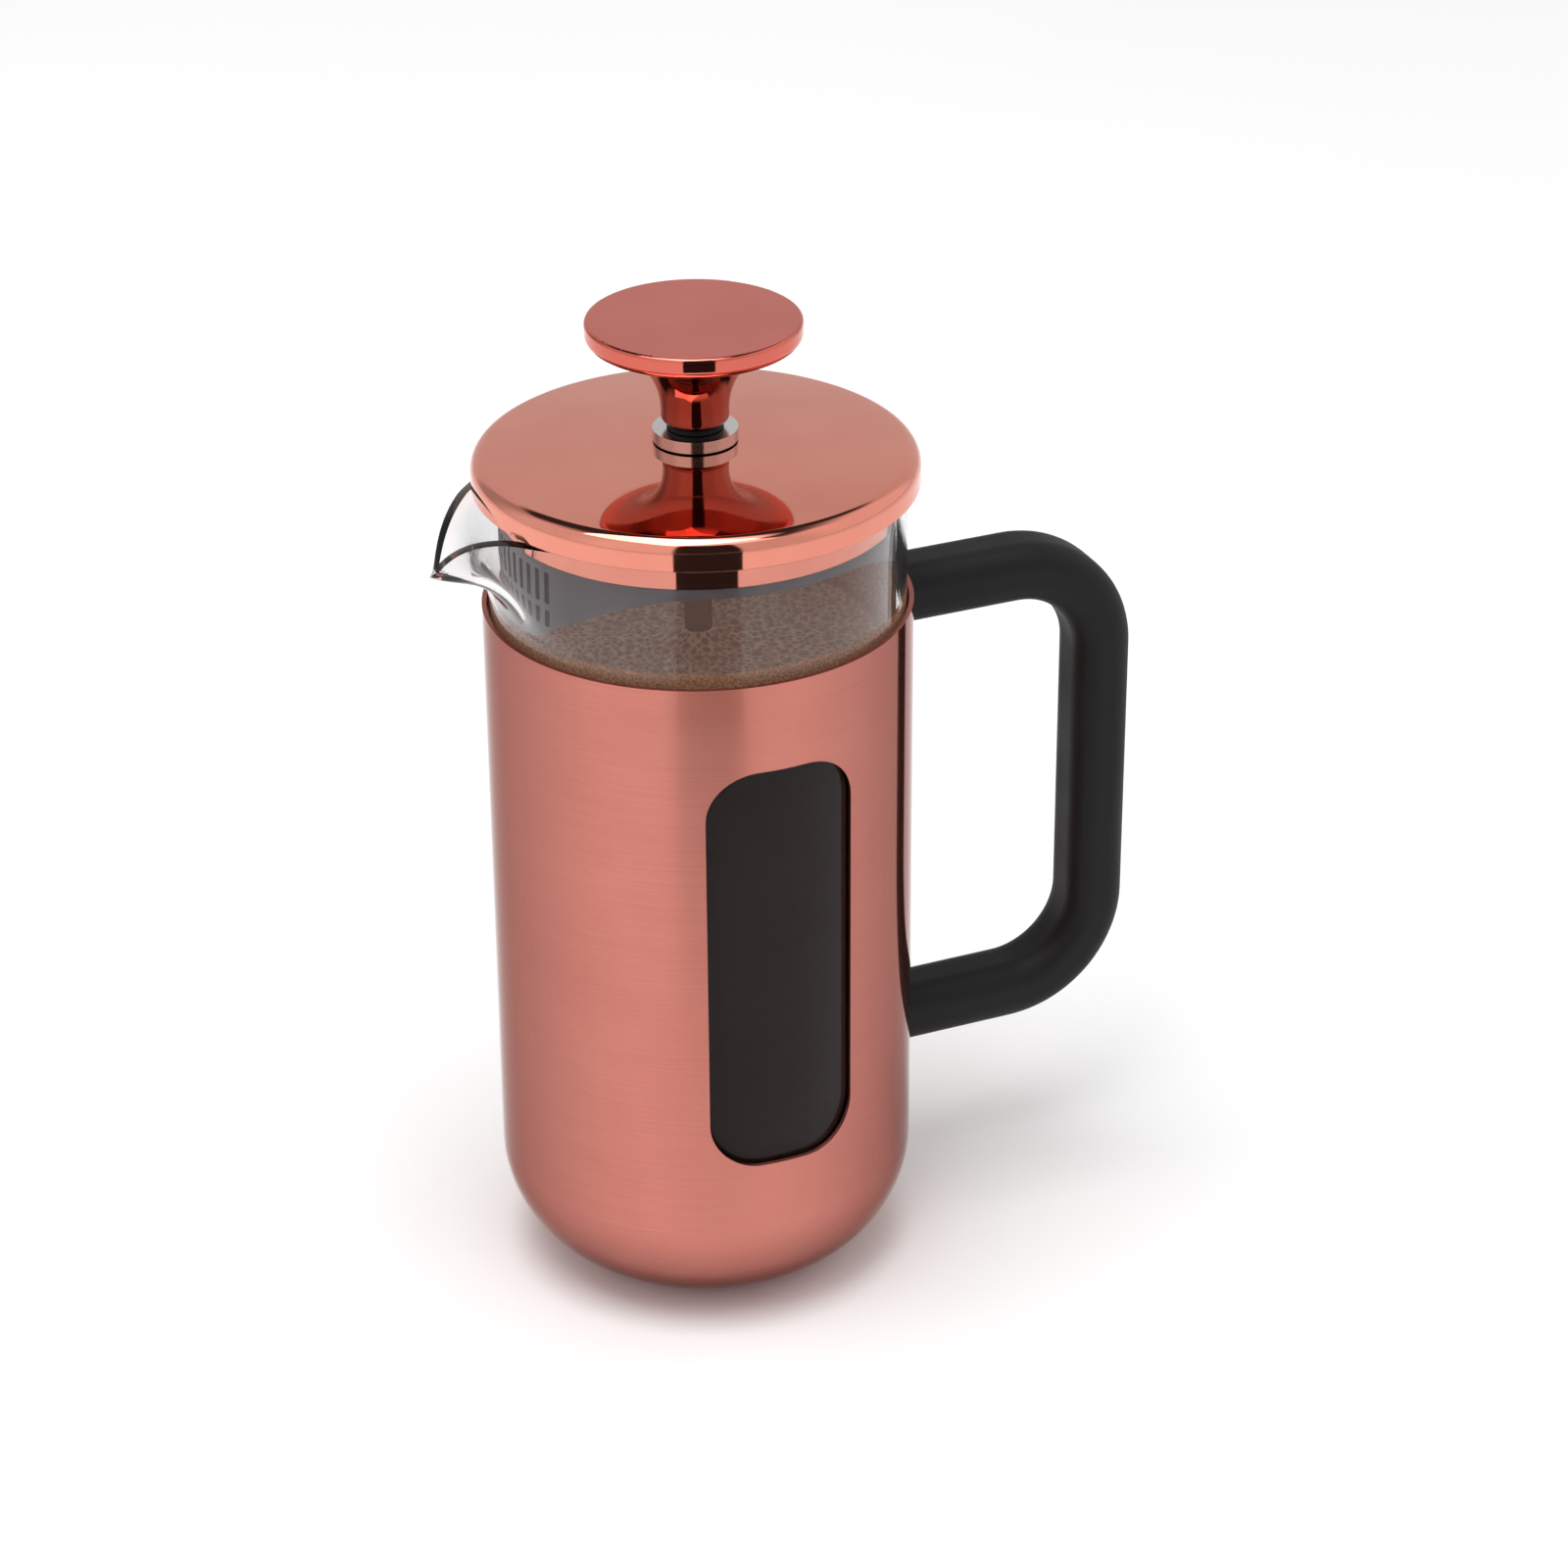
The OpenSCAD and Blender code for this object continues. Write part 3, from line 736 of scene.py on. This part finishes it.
def make_mesh(steel):
    """Woven wire disc, and its folded edge band."""
    outer = MESH_HIGH.y
    inner = outer - MESH_EDGE
    bm = bmesh.new()
    lines = int(inner / MESH_PITCH)
    for axis in (0, 1):
        for k in range(-lines, lines + 1):
            offset = (k + 0.5) * MESH_PITCH
            if abs(offset) < inner:
                mesh_wire(bm, axis, k, math.sqrt(inner**2 - offset**2))
    weave = new_object("mesh_weave", bm, smooth=False)
    weave.data.materials.append(steel)
    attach(weave, "plunger")

    low, high = MESH_LOW.z, MESH_HIGH.z
    foot, wall = inner - BAND_REACH, outer - BAND_WALL
    profile = [(foot, low), (outer - BAND_CORNER, low), (outer - BAND_CUT, low + BAND_CUT),
               (outer, low + BAND_CORNER), (outer, high), (wall, high), (wall, low + BAND_INSIDE),
               (outer - BAND_INSIDE, low + BAND_WALL), (foot, low + BAND_WALL)]
    band = revolve("mesh_edge_band", profile, BAND_AROUND)
    band.data.materials.append(steel)
    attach(band, "plunger")
    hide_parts("filter_mesh")


# ---------------------------------------------------------------- camera, floor and light

CAMERA_AZIMUTH = math.radians(22.0)
CAMERA_AWAY = 0.6566                        # from the press's axis
CAMERA_RISE = 0.3109                        # above the sleeve's rim
CAMERA_HEADING = math.radians(-23.235)
CAMERA_TILT = math.radians(-27.837)
CAMERA_ROLL = math.radians(-0.339)
FLOOR_REACH = 6.0
FLOOR_STEPS = 12
TOP_POWER = 9.5
TOP_SIZE = 0.9
TOP_SPOT = Vector((-0.25, -0.1, 1.3))

GAP_NEAR = 0.27                             # the dark floor under the camera starts this far from the axis
GAP_FAR = 4.0
GAP_HEIGHT = 0.6 * MM
GAP_STEPS = 12
GAP_LEFT, GAP_RIGHT = -11.5, 21.5           # degrees to the right of the camera
BOX_TOP = 56                                # the soft boxes beside the camera reach up to this many degrees
ALL_ROUND = (-180, 180)
SIDE_LIGHT = 0.45                           # light level where no card reaches
# Light level, then the directions that it fills, in degrees: turn to the right of the camera, and rise.
# The last number is half the width of its soft edge. Each card covers the ones before it.
WORLD_CARDS = [
    (0.70, (138, 190), (-90, 45), 6),
    (0.70, (-190, -138), (-90, 45), 6),
    (0.04, ALL_ROUND, (43, 72), 3),
    (1.06, (-88, GAP_LEFT), (-90, BOX_TOP), 2),
    (0.84, (-110, -58), (-90, BOX_TOP), 14),
    (0.80, (GAP_RIGHT, 92), (-90, BOX_TOP), 2),
    (0.98, (64, 135), (-90, BOX_TOP), 12),
    (0.03, (GAP_LEFT, GAP_RIGHT), (-90, 48), 1.5),
    (1.9, (-30, 60), (BOX_TOP, 100), 5),
    (1.9, ALL_ROUND, (72, 100), 5),
]


def make_camera():
    """The photo's camera. Its place and its turn were fitted to the photo."""
    data = bpy.data.cameras.new("camera")
    data.lens = 100
    data.sensor_width = 36
    data.clip_start = 0.01
    data.clip_end = 100
    camera = bpy.data.objects.new("camera", data)
    bpy.context.scene.collection.objects.link(camera)
    spot = Vector((-math.sin(CAMERA_AZIMUTH), -math.cos(CAMERA_AZIMUTH), 0)) * CAMERA_AWAY
    spot.z = SLEEVE_TOP + CAMERA_RISE
    turn = (Matrix.Rotation(CAMERA_HEADING, 4, "Z") @ Matrix.Rotation(math.pi / 2 + CAMERA_TILT, 4, "X")
            @ Matrix.Rotation(CAMERA_ROLL, 4, "Z"))
    camera.matrix_world = Matrix.Translation(spot) @ turn
    bpy.context.scene.camera = camera


def make_floor():
    """A white floor without an edge in the picture."""
    bm = bmesh.new()
    lines = spread(-FLOOR_REACH, FLOOR_REACH, FLOOR_STEPS)
    grid_faces(bm, [[bm.verts.new((x, y, 0)) for x in lines] for y in lines], closed=False)
    floor = new_object("floor", bm, smooth=False)
    if floor.data.polygons[0].normal.z < 0:
        floor.data.flip_normals()
    mat, shader = material("white_sweep", Roughness=0.9, Specular_IOR_Level=0.1)
    vary(mat, shader, "Base Color", clouds(mat, 3, 2), 0.93, 0.95)
    floor.data.materials.append(mat)


def make_gap():
    """The dark floor between the two soft boxes. The camera sees its shadow, which is black from behind."""
    bm = bmesh.new()
    rows = []
    for far in (GAP_NEAR, 0.3, 1.0, GAP_FAR):
        row = []
        for degrees in spread(GAP_LEFT, GAP_RIGHT, GAP_STEPS):
            turn = math.radians(degrees) - CAMERA_AZIMUTH
            row.append(bm.verts.new((math.sin(turn) * far, -math.cos(turn) * far, GAP_HEIGHT)))
        rows.append(row)
    grid_faces(bm, rows, closed=False)
    gap = new_object("dark_floor", bm, smooth=False)
    mat, shader = material("dark_cloth", Roughness=0.9, Specular_IOR_Level=0.1)
    vary(mat, shader, "Base Color", clouds(mat, 400, 2), 0.012, 0.02)
    gap.data.materials.append(mat)
    gap.visible_camera = False


def studio_world():
    """A studio as light from each direction: soft boxes beside the camera and above, with dark gaps."""
    world = bpy.data.worlds.new("studio")
    bpy.context.scene.world = world
    world.use_nodes = True
    tree = world.node_tree
    coord = tree.nodes.new("ShaderNodeTexCoord").outputs["Generated"]

    def math_node(operation, *values):
        node = tree.nodes.new("ShaderNodeMath")
        node.operation = operation
        for socket, value in zip(node.inputs, values):
            if isinstance(value, (int, float)):
                socket.default_value = value
            else:
                tree.links.new(value, socket)
        return node.outputs[0]

    def along(vector):
        node = tree.nodes.new("ShaderNodeVectorMath")
        node.operation = "DOT_PRODUCT"
        tree.links.new(coord, node.inputs[0])
        node.inputs[1].default_value = vector
        return node.outputs["Value"]

    def step(value, edge, soft):
        node = tree.nodes.new("ShaderNodeMapRange")
        node.interpolation_type = "SMOOTHSTEP"
        tree.links.new(value, node.inputs["Value"])
        node.inputs["From Min"].default_value = math.radians(edge - soft)
        node.inputs["From Max"].default_value = math.radians(edge + soft)
        return node.outputs["Result"]

    def between(value, low, high, soft):
        return math_node("SUBTRACT", step(value, low, soft), step(value, high, soft))

    sine, cosine = math.sin(CAMERA_AZIMUTH), math.cos(CAMERA_AZIMUTH)
    turn = math_node("ARCTAN2", along((cosine, -sine, 0)), along((-sine, -cosine, 0)))
    rise = math_node("ARCSINE", along((0, 0, 1)))
    level = SIDE_LIGHT
    for light, turns, rises, soft in WORLD_CARDS:
        share = between(rise, *rises, soft)
        if turns != ALL_ROUND:
            share = math_node("MULTIPLY", share, between(turn, *turns, soft))
        change = math_node("MULTIPLY", math_node("SUBTRACT", light, level), share)
        level = math_node("ADD", level, change)
    background = tree.nodes["Background"]
    background.inputs["Color"].default_value = (1, 1, 1, 1)
    tree.links.new(level, background.inputs["Strength"])


def top_softbox():
    """A square soft box above, turned to the press."""
    data = bpy.data.lights.new("top_softbox", "AREA")
    data.shape = "RECTANGLE"
    data.size = TOP_SIZE
    data.size_y = TOP_SIZE
    data.energy = TOP_POWER
    light = bpy.data.objects.new("top_softbox", data)
    bpy.context.scene.collection.objects.link(light)
    light.location = TOP_SPOT
    light.rotation_euler = (-TOP_SPOT).to_track_quat("-Z", "Y").to_euler()


# ---------------------------------------------------------------- assembly

make_camera()
studio_world()
make_gap()
top_softbox()
bpy.context.scene.view_settings.view_transform = "Standard"
make_floor()

SATIN = satin_copper()
POLISHED = polished_copper("polished_copper", COPPER_DEEP, COPPER_LIGHT)
KNOB_TOP = max(vert.co.z for vert in NODES["knob"].data.vertices)
KNOB_COPPER = polished_copper("knob_copper", KNOB_DEEP, KNOB_LIGHT, KNOB_TOP - KNOB_DISC)
STEEL = brushed_steel()
ZINC = zinc_plate()
BRASS = brass()
BLACK = soft_black()
GREY = grey_plastic()
PAD = silicone()

FINISH = {
    "sleeve": SATIN, "handle": BLACK, "upper_screw": ZINC, "lower_screw": ZINC, "upper_insert": BRASS,
    "lower_insert": BRASS, "beaker_cushion": PAD, "lid_ring": POLISHED, "lid_insert": GREY,
    "rod_bushing": STEEL, "bushing_washer": STEEL, "bushing_nut": STEEL, "knob": KNOB_COPPER,
    # painted shade: the black stop washer stands for the shaded gap under the knob's neck
    "stop_washer": BLACK, "plunger_rod": STEEL, "rod_hub": STEEL, "spiral_plate": STEEL,
    "cross_plate": STEEL, "filter_nut": STEEL,
}
for node_name, finish in FINISH.items():
    NODES[node_name].data.materials.clear()
    NODES[node_name].data.materials.append(finish)

make_beaker()
make_coffee()
FOAM = coffee_foam()
make_foam(FOAM)
make_froth(FOAM)
make_lid(POLISHED)
make_spring(STEEL)
make_mesh(STEEL)
